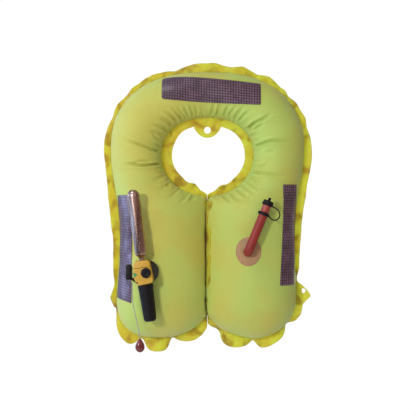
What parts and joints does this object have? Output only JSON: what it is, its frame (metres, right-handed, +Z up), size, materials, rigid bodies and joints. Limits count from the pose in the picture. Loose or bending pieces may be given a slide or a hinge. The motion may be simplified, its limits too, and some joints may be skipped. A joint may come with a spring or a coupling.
{
  "type": "life jacket",
  "caption": "Inflated horseshoe life jacket bladder with a neck opening, gas inflator and cylinder, pull cord with toggle, oral tube with dust cap, and reflective tapes.",
  "frame": {"origin": "centre of the eyelet hole above the neck opening, on the weld plane, where the jacket hangs", "axes": "+Z up towards the top edge, +X towards the oral tube's side (right in the picture), +Y towards the back; the inflator side faces -Y"},
  "size_m": [0.4798, 0.1924, 0.66],
  "materials": {
    "panel": "welded coated fabric, satin",
    "flange": "welded double sheet, satin",
    "tape": "glass-bead reflective film, gloss",
    "black": "moulded, satin",
    "rubber": "matte",
    "yellow": "moulded, satin",
    "green": "moulded, gloss",
    "red": "moulded, gloss",
    "red_tube": "smooth flexible tube",
    "tan": "ringed weld film, satin",
    "steel": "plated, bright",
    "spring_steel": "wire, bright",
    "brass": "thin disc",
    "white": "moulded",
    "tablet": "pressed, matte",
    "cord": "braided"
  },
  "bodies": {
    "bladder": {"front_panel": "panel", "back_panel": "panel", "outer_weld_flange": "flange", "neck_weld_flange": "flange", "left_slit_flange": "flange", "right_slit_flange": "flange", "left_eyelet_tab": "flange", "right_eyelet_tab": "flange", "top_reflective_tape": "tape", "left_reflective_tape": "tape", "right_reflective_tape": "tape", "oral_tube_flange": "tan", "oral_tube": "red_tube", "oral_valve_body": "red", "oral_valve_spring": "spring_steel", "cap_strap": "rubber", "strap_ring": "rubber", "manifold_flange": "black", "manifold_rear_gasket": "rubber", "manifold_front_gasket": "rubber", "manifold_nut": "black", "inflator_body": "yellow", "bayonet_collar": "yellow", "status_indicator": "green", "body_plug": "red", "lever_pivot_pin": "spring_steel", "pin_return_spring": "spring_steel", "cylinder_seat_gasket": "rubber", "cap_seal_ring": "rubber", "sensing_cartridge": "white", "soluble_tablet": "tablet", "striker_spring": "spring_steel"},
    "firing_lever": {"firing_lever": "black"},
    "piercing_pin": {"piercing_pin": "spring_steel"},
    "pull_cord": {"pull_cord": "cord", "pull_toggle": "red"},
    "co2_cylinder": {"co2_cylinder": "steel", "cylinder_seal_disc": "brass"},
    "sensing_cap": {"sensing_cap": "black"},
    "striker": {"striker": "black"},
    "dust_cap": {"dust_cap": "rubber"},
    "oral_valve_poppet": {"oral_valve_poppet": "black"}
  },
  "joints": [
    {"name": "firing_lever_turn", "type": "hinge", "parent": "bladder", "child": "firing_lever", "pos_m": [-0.15227, -0.094, -0.33995], "axis": [0, -1, 0], "range_deg": [0, 38]},
    {"name": "pull_cord_pull", "type": "slide", "parent": "bladder", "child": "pull_cord", "axis": [0.1357, 0, -0.9907], "range_m": [0, 0.0105]},
    {"name": "piercing_pin_rise", "type": "slide", "parent": "bladder", "child": "piercing_pin", "axis": [-0.1357, 0, 0.9907], "range_m": [0, 0.0083], "deforming": ["pin_return_spring"]},
    {"name": "co2_cylinder_removal", "type": "slide", "parent": "bladder", "child": "co2_cylinder", "axis": [-0.1357, 0, 0.9907], "range_m": [0, 0.03]},
    {"name": "sensing_cap_removal", "type": "slide", "parent": "bladder", "child": "sensing_cap", "axis": [0.1357, 0, -0.9907], "range_m": [0, 0.04]},
    {"name": "striker_rise", "type": "slide", "parent": "bladder", "child": "striker", "axis": [-0.1357, 0, 0.9907], "range_m": [0, 0.0075], "deforming": ["striker_spring"]},
    {"name": "dust_cap_pull", "type": "slide", "parent": "bladder", "child": "dust_cap", "axis": [0.3746, 0, 0.9272], "range_m": [0, 0.02]},
    {"name": "oral_valve_press", "type": "slide", "parent": "bladder", "child": "oral_valve_poppet", "axis": [-0.3746, 0, -0.9272], "range_m": [0, 0.004], "stiffness_N_per_m": 200, "springref_m": -0.003, "deforming": ["oral_valve_spring"]}
  ],
  "couplings": [
    {"joint": "pull_cord_pull", "follows": "firing_lever_turn", "m_per_rad": 0.015831},
    {"joint": "piercing_pin_rise", "follows": "firing_lever_turn", "m_per_rad": 0.012514}
  ]
}
